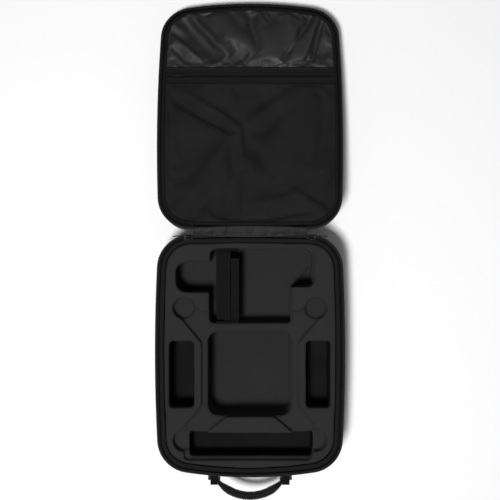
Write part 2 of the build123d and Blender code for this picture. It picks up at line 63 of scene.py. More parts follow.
lidAway = Vector((0, math.cos(lidBack), -math.sin(lidBack)))
lidUp = Vector((0, math.sin(lidBack), math.cos(lidBack)))
hingePoint = Vector((0, hingeY, rimZ))


def placeOf(xAxis, yAxis, zAxis, origin):
    return Matrix.Translation(origin) @ Matrix((xAxis, yAxis, zAxis)).transposed().to_4x4()


acrossX = Vector((1, 0, 0))
# Lid panels are made flat: x across, y away from the hinge, z up out of the lid
lidPlace = placeOf(acrossX, lidAway, lidUp, hingePoint)
# Both rims are made in the same frame: y towards the hinge, z out of the half
rimPlace = {
    "base": Matrix.Translation((0, 0, rimZ)),
    "lid": placeOf(-acrossX, -lidAway, lidUp, hingePoint + lidAway * hingeY),
}


# Small helpers
def only(piece):
    bpy.ops.object.select_all(action="DESELECT")
    piece.select_set(True)
    bpy.context.view_layer.objects.active = piece


def applyModifiers(piece):
    only(piece)
    for modifier in list(piece.modifiers):
        bpy.ops.object.modifier_apply(modifier=modifier.name)


def editMesh(piece, work):
    only(piece)
    bpy.ops.object.mode_set(mode="EDIT")
    bpy.ops.mesh.select_all(action="SELECT")
    work()
    bpy.ops.object.mode_set(mode="OBJECT")


def outward(piece):
    editMesh(piece, lambda: bpy.ops.mesh.normals_make_consistent(inside=False))


def settle(piece, place=None):
    if place is not None:
        piece.data.transform(place)
    only(piece)
    bpy.ops.object.transform_apply(location=True, rotation=True, scale=True)
    piece.data.update()


def smooth(piece, angle=40):
    only(piece)
    bpy.ops.object.shade_smooth_by_angle(angle=math.radians(angle))


def meshPiece(name, points, faces, uvs=None):
    mesh = bpy.data.meshes.new(name)
    mesh.from_pydata([tuple(p) for p in points], [], faces)
    if uvs is not None:
        layer = mesh.uv_layers.new(name="UVMap")
        for loop in mesh.loops:
            layer.data[loop.index].uv = uvs[loop.vertex_index]
    piece = bpy.data.objects.new(name, mesh)
    bpy.context.scene.collection.objects.link(piece)
    return piece


def joined(name, pieces):
    only(pieces[0])
    for piece in pieces:
        piece.select_set(True)
    if len(pieces) > 1:
        bpy.ops.object.join()
    pieces[0].name = name
    return pieces[0]


def cadCopy(name, *nodes):
    copies = []
    for node in nodes:
        copy = bpy.data.objects.new(name, frame["nodes"][node].data.copy())
        bpy.context.scene.collection.objects.link(copy)
        copies.append(copy)
    piece = joined(name, copies)
    piece.data.materials.clear()
    editMesh(piece, lambda: bpy.ops.mesh.remove_doubles(threshold=0.000002))
    return piece


def finishPiece(piece, body, material, replaces=()):
    piece.data.materials.clear()
    piece.data.materials.append(material)
    if body:
        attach(piece, body)
    if replaces:
        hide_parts(*replaces)
    return piece


# Sweeps a closed section along a path; each path point has its own two axes and section
def sweep(name, centres, firstAxes, secondAxes, sections, closed):
    count, around = len(centres), len(sections[0])
    points, uvs = [], []
    along = 0.0
    for i in range(count):
        if i:
            along += (Vector(centres[i]) - Vector(centres[i - 1])).length
        girth = 0.0
        for k in range(around):
            s = sections[i][k]
            if k:
                girth += (Vector(s) - Vector(sections[i][k - 1])).length
            points.append(Vector(centres[i]) + Vector(firstAxes[i]) * s[0] + Vector(secondAxes[i]) * s[1])
            uvs.append((along, girth))
    faces = []
    for i in range(count if closed else count - 1):
        j = (i + 1) % count
        for k in range(around):
            m = (k + 1) % around
            faces.append((i * around + k, i * around + m, j * around + m, j * around + k))
    if not closed:
        faces.append(tuple(range(around))[::-1])
        faces.append(tuple((count - 1) * around + k for k in range(around)))
    piece = meshPiece(name, points, faces, uvs)
    outward(piece)
    return piece


def ovalSection(halfWide, halfHigh, power=2.6, count=20, centre=(0, 0)):
    section = []
    for k in range(count):
        a = 2 * math.pi * k / count
        c, s = math.cos(a), math.sin(a)
        section.append((centre[0] + halfWide * math.copysign(abs(c) ** (2 / power), c),
                        centre[1] + halfHigh * math.copysign(abs(s) ** (2 / power), s)))
    return section


# The rim's outline, read from the piping's lower edge
def readOutline():
    mesh = bmesh.new()
    mesh.from_mesh(frame["nodes"]["base_piping"].data)
    bmesh.ops.remove_doubles(mesh, verts=mesh.verts, dist=0.000002)
    low = min(v.co.z for v in mesh.verts) + 0.00002
    sharp = [e for e in mesh.edges if all(v.co.z < low for v in e.verts) and len(e.link_faces) == 2
             and e.calc_face_angle() > 1]
    links = {}
    for edge in sharp:
        a, b = edge.verts
        links.setdefault(a.index, []).append(b.index)
        links.setdefault(b.index, []).append(a.index)
    mesh.verts.ensure_lookup_table()
    loops, seen = [], set()
    for start in sorted(links):
        if start in seen:
            continue
        loop, here = [start], start
        seen.add(start)
        while True:
            onward = [n for n in links[here] if n not in seen]
            if not onward:
                break
            here = onward[0]
            seen.add(here)
            loop.append(here)
        loops.append([mesh.verts[i].co.xy.copy() for i in loop])
    mesh.free()
    outer = max(loops, key=lambda loop: max(p.x for p in loop))
    turning = sum(a.x * b.y - b.x * a.y for a, b in zip(outer, outer[1:] + outer[:1]))
    return np.array(outer if turning > 0 else outer[::-1])


def evenly(points, step, closed):
    ring = np.vstack([points, points[:1]]) if closed else np.array(points)
    along = np.concatenate([[0], np.cumsum(np.linalg.norm(np.diff(ring, axis=0), axis=1))])
    count = max(2, round(along[-1] / step))
    at = np.linspace(0, along[-1], count + 1)[: count if closed else count + 1]
    return np.stack([np.interp(at, along, ring[:, k]) for k in range(ring.shape[1])], axis=1)


outline = evenly(readOutline(), 0.002, True)
ahead = np.roll(outline, -1, axis=0) - np.roll(outline, 1, axis=0)
ahead /= np.linalg.norm(ahead, axis=1)[:, None]
inwardWays = np.stack([-ahead[:, 1], ahead[:, 0]], axis=1)
for turn in range(6):   # evens out the directions where the outline's short edges meet
    inwardWays = (np.roll(inwardWays, 1, axis=0) + 2 * inwardWays + np.roll(inwardWays, -1, axis=0)) / 4
inwardWays /= np.linalg.norm(inwardWays, axis=1)[:, None]


def insetOutline(inset):
    return outline + inwardWays * (inset - outlineSlack)


# The rim without the hinge: it starts and ends at the hinge's two corners
def openRim(gap):
    inGap = (outline[:, 1] > 0) & (np.abs(outline[:, 0]) < hingeHalf + gap)
    order = np.arange(len(outline))
    first = next(i for i in order if inGap[i - 1] and not inGap[i])
    order = np.roll(order, -first)
    return [i for i in order if not inGap[i]]


def rimSweep(name, half, section, inset, height, gap=None):
    order = list(range(len(outline))) if gap is None else openRim(gap)
    path = insetOutline(inset)
    centres = [(path[i][0], path[i][1], height) for i in order]
    inward = [(inwardWays[i][0], inwardWays[i][1], 0) for i in order]
    up = [(0, 0, 1)] * len(order)
    piece = sweep(name, centres, inward, up, [section] * len(order), gap is None)
    settle(piece, rimPlace[half])
    return piece


print("frame and helpers ready")


# Materials
def mathOut(tree, operation, a, b=None):
    node = tree.nodes.new("ShaderNodeMath")
    node.operation = operation
    for socket, value in zip(node.inputs, (a, b)):
        if isinstance(value, (int, float)):
            socket.default_value = value
        elif value is not None:
            tree.links.new(value, socket)
    return node.outputs[0]


def newGroup(name, inputs, outputs):
    group = bpy.data.node_groups.new(name, "ShaderNodeTree")
    for label, kind, value in inputs:
        socket = group.interface.new_socket(name=label, in_out="INPUT", socket_type=kind)
        if value is not None:
            socket.default_value = value
    for label, kind in outputs:
        group.interface.new_socket(name=label, in_out="OUTPUT", socket_type=kind)
    return group, group.nodes.new("NodeGroupInput"), group.nodes.new("NodeGroupOutput")


# Picks the two coordinates that lie along the surface, from the side that it faces
def makeFlatten():
    group, source, result = newGroup(
        "flattenCoordinates", [("Vector", "NodeSocketVector", None), ("Normal", "NodeSocketVector", None)],
        [("Vector", "NodeSocketVector")])
    place, facing = (group.nodes.new("ShaderNodeSeparateXYZ") for _ in range(2))
    group.links.new(source.outputs[0], place.inputs[0])
    group.links.new(source.outputs[1], facing.inputs[0])
    size = [mathOut(group, "ABSOLUTE", facing.outputs[k]) for k in range(3)]
    upright = mathOut(group, "GREATER_THAN", size[2], mathOut(group, "MAXIMUM", size[0], size[1]))
    sideways = mathOut(group, "MULTIPLY", mathOut(group, "GREATER_THAN", size[0], size[1]),
                       mathOut(group, "SUBTRACT", 1, upright))

    def pick(chosen, a, b):
        return mathOut(group, "ADD", mathOut(group, "MULTIPLY", chosen, a),
                       mathOut(group, "MULTIPLY", mathOut(group, "SUBTRACT", 1, chosen), b))

    flat = group.nodes.new("ShaderNodeCombineXYZ")
    group.links.new(pick(sideways, place.outputs[1], place.outputs[0]), flat.inputs[0])
    group.links.new(pick(upright, place.outputs[1], place.outputs[2]), flat.inputs[1])
    group.links.new(flat.outputs[0], result.inputs[0])
    return group


def threadHump(tree, value):
    return mathOut(tree, "ABSOLUTE", mathOut(tree, "SINE", mathOut(tree, "MULTIPLY", value, math.pi)))


# Over-and-under threads: Height is their relief and Warp marks the threads that run along
def makeWeave():
    group, source, result = newGroup(
        "wovenThreads", [("Vector", "NodeSocketVector", None), ("Pitch", "NodeSocketFloat", 0.001)],
        [("Height", "NodeSocketFloat"), ("Warp", "NodeSocketFloat")])
    place = group.nodes.new("ShaderNodeSeparateXYZ")
    group.links.new(source.outputs[0], place.inputs[0])
    across, along = (mathOut(group, "DIVIDE", place.outputs[k], source.outputs[1]) for k in range(2))
    cells = mathOut(group, "ADD", mathOut(group, "FLOOR", across), mathOut(group, "FLOOR", along))
    parity = mathOut(group, "FRACT", mathOut(group, "MULTIPLY", cells, 0.5))
    warp = mathOut(group, "GREATER_THAN", parity, 0.25)
    humps = [threadHump(group, across), threadHump(group, along)]
    relief = []
    for rising, crossing in ((0, 1), (1, 0)):   # a thread dips where one of the other set crosses it
        dip = mathOut(group, "ADD", mathOut(group, "MULTIPLY", humps[crossing], 0.45), 0.55)
        relief.append(mathOut(group, "MULTIPLY", humps[rising], dip))
    height = mathOut(group, "ADD", mathOut(group, "MULTIPLY", warp, relief[0]),
                     mathOut(group, "MULTIPLY", mathOut(group, "SUBTRACT", 1, warp), relief[1]))
    group.links.new(height, result.inputs[0])
    group.links.new(warp, result.inputs[1])
    return group


# Ribs across a tape that follows its own UV map, with finer threads between them
def makeRibs():
    group, source, result = newGroup(
        "tapeRibs", [("Vector", "NodeSocketVector", None), ("Pitch", "NodeSocketFloat", 0.0015)],
        [("Height", "NodeSocketFloat"), ("Warp", "NodeSocketFloat")])
    place = group.nodes.new("ShaderNodeSeparateXYZ")
    group.links.new(source.outputs[0], place.inputs[0])
    along = mathOut(group, "DIVIDE", place.outputs[0], source.outputs[1])
    across = mathOut(group, "DIVIDE", place.outputs[1], mathOut(group, "MULTIPLY", source.outputs[1], 0.4))
    rib = threadHump(group, along)
    fine = threadHump(group, across)
    group.links.new(mathOut(group, "ADD", mathOut(group, "MULTIPLY", rib, 0.75),
                            mathOut(group, "MULTIPLY", fine, 0.25)), result.inputs[0])
    group.links.new(mathOut(group, "GREATER_THAN", rib, 0.5), result.inputs[1])
    return group


# Slanting ribs of a twill or of a fine satin
def makeTwill():
    group, source, result = newGroup(
        "twillLines", [("Vector", "NodeSocketVector", None), ("Pitch", "NodeSocketFloat", 0.001)],
        [("Height", "NodeSocketFloat"), ("Warp", "NodeSocketFloat")])
    place = group.nodes.new("ShaderNodeSeparateXYZ")
    group.links.new(source.outputs[0], place.inputs[0])
    slant = mathOut(group, "ADD", place.outputs[0], mathOut(group, "MULTIPLY", place.outputs[1], 0.6))
    line = threadHump(group, mathOut(group, "DIVIDE", slant, source.outputs[1]))
    group.links.new(line, result.inputs[0])
    group.links.new(mathOut(group, "GREATER_THAN", line, 0.5), result.inputs[1])
    return group


# Uneven dye, rubbed patches and lint
def makeWear():
    group, source, result = newGroup(
        "unevenWear", [("Vector", "NodeSocketVector", None), ("Patch", "NodeSocketFloat", 18.0),
                       ("Speck", "NodeSocketFloat", 700.0)],
        [("Patches", "NodeSocketFloat"), ("Specks", "NodeSocketFloat")])
    for k, detail in enumerate((3.0, 2.0)):
        spots = group.nodes.new("ShaderNodeTexNoise")
        spots.inputs["Detail"].default_value = detail
        group.links.new(source.outputs[0], spots.inputs["Vector"])
        group.links.new(source.outputs[1 + k], spots.inputs["Scale"])
        group.links.new(spots.outputs["Fac"], result.inputs[k])
    return group


groups = {"flatten": makeFlatten(), "weave": makeWeave(), "ribs": makeRibs(), "twill": makeTwill(),
          "wear": makeWear()}


def useGroup(tree, key, **values):
    node = tree.nodes.new("ShaderNodeGroup")
    node.node_tree = groups[key]
    for name, value in values.items():
        if isinstance(value, (int, float)):
            node.inputs[name].default_value = value
        else:
            tree.links.new(value, node.inputs[name])
    return node


def mixColour(tree, fac, a, b):
    node = tree.nodes.new("ShaderNodeMix")
    node.data_type = "RGBA"
    tree.links.new(fac, node.inputs[0])
    for socket, value in ((node.inputs[6], a), (node.inputs[7], b)):
        if isinstance(value, tuple):
            socket.default_value = value
        else:
            tree.links.new(value, socket)
    return node.outputs[2]


def remap(tree, value, low, high, toLow, toHigh):
    node = tree.nodes.new("ShaderNodeMapRange")
    for socket, number in zip(node.inputs[1:5], (low, high, toLow, toHigh)):
        socket.default_value = number
    tree.links.new(value, node.inputs[0])
    return node.outputs[0]


def grey(level, warmth=0.0):
    return (level * (1 + warmth), level, level * (1 - warmth), 1)


slightlyCool = -0.01   # dyed blacks lean a little to blue


# look holds pattern, pitch, dark, light, rough and bump, and where wanted follow (the piece's own UV map),
# relief, sheen, specular, metallic, patch, speck, lint and the valley shade key (how far painted shade darkens the
# thread valleys)
def makeMaterial(name, look):
    material = bpy.data.materials.new(name)
    material.use_nodes = True
    tree = material.node_tree
    shader = tree.nodes["Principled BSDF"]
    coordinates = tree.nodes.new("ShaderNodeTexCoord")
    place = coordinates.outputs["UV"] if look.get("follow") else coordinates.outputs["Object"]
    lie = place
    if not look.get("follow"):
        lie = useGroup(tree, "flatten", Vector=place, Normal=coordinates.outputs["Normal"]).outputs[0]
    wear = useGroup(tree, "wear", Vector=coordinates.outputs["Object"], Patch=look.get("patch", 18.0),
                    Speck=look.get("speck", 700.0))
    patches = remap(tree, wear.outputs["Patches"], 0.32, 0.68, 0, 1)
    specks = remap(tree, wear.outputs["Specks"], 0.3, 0.7, 0, 1)
    dark, light = (grey(look[key], slightlyCool) for key in ("dark", "light"))
    colour = mixColour(tree, patches, dark, light)
    height = specks
    if look["pattern"] != "grain":
        threads = useGroup(tree, look["pattern"], Vector=lie, Pitch=look["pitch"])
        # painted shade: the valleys between threads are darkened towards a deeper grey, and the low parts of the
        # relief take that shaded colour
        shade = remap(tree, threads.outputs["Height"], 0, 1, 0, look.get("valleyShade", 0.55))
        valleyShade = mixColour(tree, shade, grey(look["dark"] * 0.45), colour)
        colour = mixColour(tree, remap(tree, threads.outputs["Height"], 0, 0.6, 0.25, 1), valleyShade, colour)
        height = mathOut(tree, "ADD", mathOut(tree, "MULTIPLY", threads.outputs["Height"], 0.85),
                         mathOut(tree, "MULTIPLY", specks, 0.15))
    lint = remap(tree, wear.outputs["Specks"], 0.62, 0.74, 0, look.get("lint", 0.25))
    colour = mixColour(tree, lint, colour, grey(look["light"] * 2.2))
    tree.links.new(colour, shader.inputs["Base Color"])
    tree.links.new(remap(tree, wear.outputs["Patches"], 0.3, 0.7, look["rough"] - 0.07, look["rough"] + 0.07),
                   shader.inputs["Roughness"])
    bump = tree.nodes.new("ShaderNodeBump")
    bump.inputs["Strength"].default_value = look["bump"]
    bump.inputs["Distance"].default_value = look.get("relief", 0.0003)
    tree.links.new(height, bump.inputs["Height"])
    tree.links.new(bump.outputs["Normal"], shader.inputs["Normal"])
    shader.inputs["Specular IOR Level"].default_value = look.get("specular", 0.35)
    shader.inputs["Sheen Weight"].default_value = look.get("sheen", 0.0)
    shader.inputs["Sheen Roughness"].default_value = 0.45
    shader.inputs["Metallic"].default_value = look.get("metallic", 0.0)
    return material


looks = {
    "shellFabric": dict(pattern="weave", pitch=0.0015, dark=0.012, light=0.021, rough=0.62, bump=0.75,
                        sheen=0.05, specular=0.25),
    "bindingTape": dict(pattern="ribs", pitch=0.0016, dark=0.003, light=0.006, rough=0.66, bump=0.7,
                        follow=True, relief=0.0004, sheen=0.01, specular=0.12),
    "pipingTape": dict(pattern="ribs", pitch=0.0021, dark=0.005, light=0.009, rough=0.6, bump=0.8,
                       follow=True, relief=0.0005, specular=0.18),
    "zipTapeCloth": dict(pattern="twill", pitch=0.0012, dark=0.004, light=0.007, rough=0.7, bump=0.6,
                         follow=True, specular=0.15),
    "coilNylon": dict(pattern="grain", dark=0.003, light=0.006, rough=0.6, bump=0.2, specular=0.12,
                      speck=1500.0),
    "hingeSatin": dict(pattern="twill", pitch=0.0009, dark=0.007, light=0.013, rough=0.52, bump=0.4,
                       sheen=0.02, specular=0.2),
    "brushedFoam": dict(pattern="grain", dark=0.019, light=0.0235, rough=0.9, bump=0.5, relief=0.0006,
                        sheen=0.03, speck=900.0, patch=9.0, lint=0.45, specular=0.15),
    # painted shade: a darker copy of the foam, laid on the deep parts of the narrow pockets to darken them as shade
    "pocketShadeFoam": dict(pattern="grain", dark=0.006, light=0.010, rough=0.95, bump=0.6, relief=0.0006,
                     speck=1200.0, patch=14.0, lint=0.3, specular=0.08),
    "strapWebbing": dict(pattern="ribs", pitch=0.0018, dark=0.002, light=0.005, rough=0.68, bump=0.8,
                         follow=True, relief=0.0005, specular=0.10),
    "hookPile": dict(pattern="weave", pitch=0.0016, dark=0.003, light=0.006, rough=0.6, bump=0.9,
                     relief=0.0008, specular=0.15),
    "handleCloth": dict(pattern="weave", pitch=0.0013, dark=0.005, light=0.009, rough=0.6, bump=0.7,
                        follow=True, relief=0.0004, sheen=0.03, specular=0.22),
    "mountPlastic": dict(pattern="grain", dark=0.006, light=0.010, rough=0.5, bump=0.3, speck=1300.0,
                         specular=0.35),
    "darkMetal": dict(pattern="grain", dark=0.006, light=0.011, rough=0.52, bump=0.1, metallic=0.4,
                      specular=0.2, speck=400.0),
    "shinySatin": dict(pattern="twill", pitch=0.0008, dark=0.011, light=0.016, rough=0.58, bump=0.14,
                       specular=0.40, lint=0.1, valleyShade=0.85, patch=12.0),
    "liningCloth": dict(pattern="twill", pitch=0.0010, dark=0.006, light=0.010, rough=0.6, bump=0.3,
                        specular=0.2),
    "blackThread": dict(pattern="grain", dark=0.010, light=0.016, rough=0.55, bump=0.2, speck=2000.0,
                        specular=0.25),
}
materials = {name: makeMaterial(name, look) for name, look in looks.items()}

netLook = {"pitch": 0.0050, "thread": 0.78, "dark": 0.010, "light": 0.017, "rough": 0.78, "specular": 0.14,
           "open": 0.10}


# Knitted net: two slanting sets of threads, open between them
def makeNet():
    material = makeMaterial("knittedNet", dict(pattern="grain", dark=netLook["dark"], light=netLook["light"],
                                               rough=netLook["rough"], bump=0.5,
                                               specular=netLook["specular"], lint=0.05))
    tree = material.node_tree
    shader = tree.nodes["Principled BSDF"]
    place = tree.nodes.new("ShaderNodeSeparateXYZ")
    coordinates = next(n for n in tree.nodes if n.type == "TEX_COORD")
    tree.links.new(coordinates.outputs["UV"], place.inputs[0])
    sets = [mathOut(tree, "DIVIDE", mathOut(tree, sign, place.outputs[0], place.outputs[1]), netLook["pitch"])
            for sign in ("ADD", "SUBTRACT")]
    threads = mathOut(tree, "MAXIMUM", *[threadHump(tree, value) for value in sets])
    isThread = mathOut(tree, "GREATER_THAN", threads, netLook["thread"])
    tree.links.new(remap(tree, isThread, 0, 1, netLook["open"], 1), shader.inputs["Alpha"])
    bump = next(n for n in tree.nodes if n.type == "BUMP")
    tree.links.new(threads, bump.inputs["Height"])
    return material


materials["knittedNet"] = makeNet()
print("materials ready")

# Rim trim: piping, zip tape, coil teeth and binding, the same on base and lid
rimTrim = {
    "pipingInset": 0.0026, "pipingRadius": 0.0024, "pipingLow": 0.010, "pipingHigh": 0.0054,
    "bindingOver": {"base": 0.0022, "lid": 0.0},   # the base's tape is turned in over the foam
    "bindingInset": 0.0110, "bindingWide": 0.0070, "bindingLow": 0.011, "bindingHigh": 0.0058,
    "tapeInset": 0.0063, "tapeThick": 0.001, "tapeLow": 0.015, "tapeHigh": 0.0044,
    "coilDrop": 0.0030, "coilRadius": 0.0010, "coilSink": 0.0002, "tapeGap": 0.0004, "coilGap": 0.0028,
    "toothPitch": 0.0024, "toothLong": 0.0031, "toothRadius": 0.00075,
}


def toothRows(name, centres, alongs, acrosses, ups, look, lift=0.0):
    points, faces = [], []
    sides = 6
    for centre, along, across, up in zip(centres, alongs, acrosses, ups):
        first = len(points)
        for end, swell in ((-1, 0.6), (-0.72, 1), (0.72, 1), (1, 0.6)):
            for k in range(sides):
                a = 2 * math.pi * (k + 0.5) / sides
                r = look["toothRadius"] * swell
                points.append(centre + across * (end * look["toothLong"] / 2) + along * (r * math.cos(a))
                              + up * (lift + 1.25 * r * math.sin(a)))
        for ring in range(3):
            for k in range(sides):
                m = (k + 1) % sides
                faces.append((first + ring * sides + k, first + ring * sides + m,
                              first + (ring + 1) * sides + m, first + (ring + 1) * sides + k))
        faces.append(tuple(first + k for k in range(sides))[::-1])
        faces.append(tuple(first + 3 * sides + k for k in range(sides)))
    piece = meshPiece(name, points, faces)
    outward(piece)
    return piece


def makeRimTrim(half):
    t = rimTrim
    low, high = t["pipingLow"], t["pipingHigh"]
    cord = ovalSection(t["pipingRadius"], (low - high) / 2, 2.4, 16)
    piping = rimSweep(half + "PipingCord", half, cord, t["pipingInset"], -(low + high) / 2)
    smooth(piping)
    finishPiece(piping, half, materials["pipingTape"], [half + "_piping"])

    extra = t["bindingOver"][half] / 2
    band = ovalSection(t["bindingWide"] / 2 + extra, (t["bindingLow"] - t["bindingHigh"]) / 2, 3.2, 20)
    binding = rimSweep(half + "BindingTape", half, band, t["bindingInset"] + extra,
                       -(t["bindingLow"] + t["bindingHigh"]) / 2)
    smooth(binding)
    finishPiece(binding, half, materials["bindingTape"], [half + "_binding"])

    strip = ovalSection(t["tapeThick"] / 2, (t["tapeLow"] - t["tapeHigh"]) / 2, 5, 12)
    tape = rimSweep(half + "ZipTape", half, strip, t["tapeInset"], -(t["tapeLow"] + t["tapeHigh"]) / 2,
                    t["tapeGap"])
    smooth(tape)
    finishPiece(tape, half, materials["zipTapeCloth"], [half + "_zip_tape"])

    cordRound = ovalSection(t["coilRadius"], t["coilRadius"], 2, 10)
    core = rimSweep(half + "ZipCord", half, cordRound, t["tapeInset"],
                    -t["coilDrop"] - t["coilSink"], t["coilGap"])
    order = openRim(t["coilGap"])
    line = np.array([insetOutline(t["tapeInset"])[i] for i in order])
    spots = evenly(line, t["toothPitch"], False)
    ways = np.gradient(spots, axis=0)
    ways /= np.linalg.norm(ways, axis=1)[:, None]
    alongs = [Vector((w[0], w[1], 0)) for w in ways]
    teeth = toothRows(half + "ZipTeeth", [Vector((p[0], p[1], -t["coilDrop"])) for p in spots], alongs,
                      [Vector((-w[1], w[0], 0)) for w in ways], [Vector((0, 0, 1))] * len(spots), t)
    settle(teeth, rimPlace[half])
    coil = joined(half + "ZipCoil", [core, teeth])
    smooth(coil, 50)
    finishPiece(coil, half, materials["coilNylon"], [half + "_zip_coil"])


for half in ("base", "lid"):
    makeRimTrim(half)
print("rim trim made")

# Foam insert: one soft block with brushed edges, its floor pad included
# where painted shade goes: the narrow pockets, a little beyond their sides and below a depth from the rim, take the
# darker foam
foamLook = {"shadedPockets": ("battery_pocket_left", "battery_pocket_right", "accessory_slot"),
            "shadeSpread": 0.009, "shadeDepth": 0.036, "voxel": 0.0024, "softening": 8, "swell": 0.62,
            "waviness": 0.0012, "waveSize": 0.035}
foamNodes = sorted(n for n in frame["nodes"] if n.startswith("foam_"))


def makeFoam():
    foam = cadCopy("foamInsert", *foamNodes)
    remesh = foam.modifiers.new("oneBlock", "REMESH")
    remesh.mode = "VOXEL"
    remesh.voxel_size = foamLook["voxel"]
    soften = foam.modifiers.new("softEdges", "SMOOTH")
    soften.factor, soften.iterations = 0.5, foamLook["softening"]
    applyModifiers(foam)
    swell = bpy.data.textures.new("foamWaves", "CLOUDS")
    swell.noise_scale = foamLook["waveSize"]
    wave = foam.modifiers.new("handCut", "DISPLACE")
    wave.texture, wave.texture_coords = swell, "LOCAL"
    wave.strength, wave.mid_level = foamLook["waviness"], foamLook["swell"]
    applyModifiers(foam)
    smooth(foam, 60)
    finishPiece(foam, "base", materials["brushedFoam"], foamNodes)
    foam.data.materials.append(materials["pocketShadeFoam"])
    openings = frame["record"]["physics"]["openings"]
    for opening in openings:   # painted shade: the deep parts of the narrow pockets get the darker foam
        if opening["name"] not in foamLook["shadedPockets"]:
            continue
        low, high = opening["box_m"]
        for face in foam.data.polygons:
            c = face.center
            spread = foamLook["shadeSpread"]
            inside = all(low[k] - spread < c[k] < high[k] + spread for k in range(2))
            if inside and c.z < rimZ - foamLook["shadeDepth"]:
                face.material_index = 1


makeFoam()
print("foam insert made")


# Lid pocket: satin panel, zip band and net, made flat and then laid into the lid
lidOutline = np.stack([outline[:, 0], hingeY - outline[:, 1]], axis=1)   # x and distance from the hinge
lidInward = np.stack([inwardWays[:, 0], -inwardWays[:, 1]], axis=1)

pocket = {
    "inset": 0.0142, "drop": 0.008, "cell": 0.0035,
    "satinDeep": 0.131, "bandDeep": 0.165,   # from the lid's far edge to the band's two edges
}
farEdge = hingeY + halfLong
satinEnd = farEdge - pocket["satinDeep"]
bandEnd = farEdge - pocket["bandDeep"]
zipMiddle = (satinEnd + bandEnd) / 2


def panelOutline(inset, near, far):
    points = lidOutline + lidInward * (inset - outlineSlack)
    kept = []
    for a, b in zip(points, np.roll(points, -1, axis=0)):
        if near <= a[1] <= far:
            kept.append(tuple(a))
        for edge in (near, far):
            if (a[1] - edge) * (b[1] - edge) < 0:
                s = (edge - a[1]) / (b[1] - a[1])
                kept.append(tuple(a + s * (b - a)))
    return kept


# A grid that fills an outline with four corners, by blending its four sides
def coonsGrid(name, loop, corners, cell):
    loop = np.array(loop)
    at = [int(np.argmin(np.linalg.norm(loop - np.array(c), axis=1))) for c in corners]
    sides = []
    for a, b in zip(at, at[1:] + at[:1]):
        run = [loop[i % len(loop)] for i in range(a, b + 1 if b > a else b + len(loop) + 1)]
        sides.append(np.array(run))
    lengths = [np.linalg.norm(np.diff(s, axis=0), axis=1).sum() for s in sides]
    columns = max(4, round(max(lengths[0], lengths[2]) / cell))
    rows = max(4, round(max(lengths[1], lengths[3]) / cell))

    def spread(side, count):
        along = np.concatenate([[0], np.cumsum(np.linalg.norm(np.diff(side, axis=0), axis=1))])
        at = np.linspace(0, along[-1], count + 1)
        return np.stack([np.interp(at, along, side[:, k]) for k in range(2)], axis=1)

    first, right = spread(sides[0], columns), spread(sides[1], rows)
    last, left = spread(sides[2], columns)[::-1], spread(sides[3], rows)[::-1]
    points = []
    for j in range(rows + 1):
        t = j / rows
        for i in range(columns + 1):
            s = i / columns
            p = (1 - t) * first[i] + t * last[i] + (1 - s) * left[j] + s * right[j]
            p -= ((1 - s) * (1 - t) * first[0] + s * (1 - t) * first[-1]
                  + (1 - s) * t * last[0] + s * t * last[-1])
            points.append((p[0], p[1], 0.0))
    wide = columns + 1
    faces = [(j * wide + i, j * wide + i + 1, (j + 1) * wide + i + 1, (j + 1) * wide + i)
             for j in range(rows) for i in range(columns)]
    piece = meshPiece(name, points, faces, [(p[0], p[1]) for p in points])
    edge = piece.vertex_groups.new(name="edge")
    edge.add([j * wide + i for j in range(rows + 1) for i in range(wide)
              if i in (0, columns) or j in (0, rows)], 1.0, "REPLACE")
    return piece


def cornerOf(loop, x, y):
    return max(loop, key=lambda p: x * p[0] + y * p[1])


def foldHeight(x, y, folds):
    height = 0.0
    for x0, y0, x1, y1, width, rise in folds:
        run = Vector((x1 - x0, y1 - y0))
        t = max(0.0, min(1.0, (Vector((x - x0, y - y0)).dot(run)) / run.length_squared))
        away = (Vector((x0, y0)) + run * t - Vector((x, y))).length
        fading = math.sin(math.pi * min(1, max(0, 0.12 + 0.88 * t))) ** 0.6   # steep start, soft end
        height += rise * math.exp(-(away / width) ** 2) * fading
    return height


def clothSettle(piece, grow, stiffness, bending, frames=20):
    cloth = piece.modifiers.new("settling", "CLOTH")
    s = cloth.settings
    s.quality, s.mass = 7, 0.12
    s.tension_stiffness = s.compression_stiffness = stiffness
    s.shear_stiffness, s.bending_stiffness = stiffness / 3, bending
    s.air_damping = 2.0
    s.vertex_group_mass = "edge"
    s.shrink_min = -grow
    s.effector_weights.gravity = 0
    cloth.collision_settings.use_collision = False
    for step in range(1, frames + 1):
        bpy.context.scene.frame_set(step)
    applyModifiers(piece)
    bpy.context.scene.frame_set(1)


def capHeights(piece, low, high):
    for vertex in piece.data.vertices:
        h = vertex.co.z
        vertex.co.z = high * math.tanh(h / high) if h > 0 else low * math.tanh(h / low)


def sheetPiece(piece, thickness, levels):
    finer = piece.modifiers.new("finer", "SUBSURF")
    finer.levels = finer.render_levels = levels
    thick = piece.modifiers.new("clothThickness", "SOLIDIFY")
    thick.thickness, thick.offset = thickness, -1
    applyModifiers(piece)
    piece.vertex_groups.clear()


satinLook = {"grow": 0.05, "stiffness": 11.0, "bending": 0.7, "low": -0.013, "high": 0.0075,
             "thickness": 0.0006, "flatEdge": 0.155, "edgeEase": 0.012, "farHem": 0.014, "nearEase": 0.004,
             "uneven": 0.0016, "unevenScale": 30,
             "puckerReach": 0.018, "puckerPitch": 0.026, "puckerRise": 0.0018, "puckerSeed": 3.0}
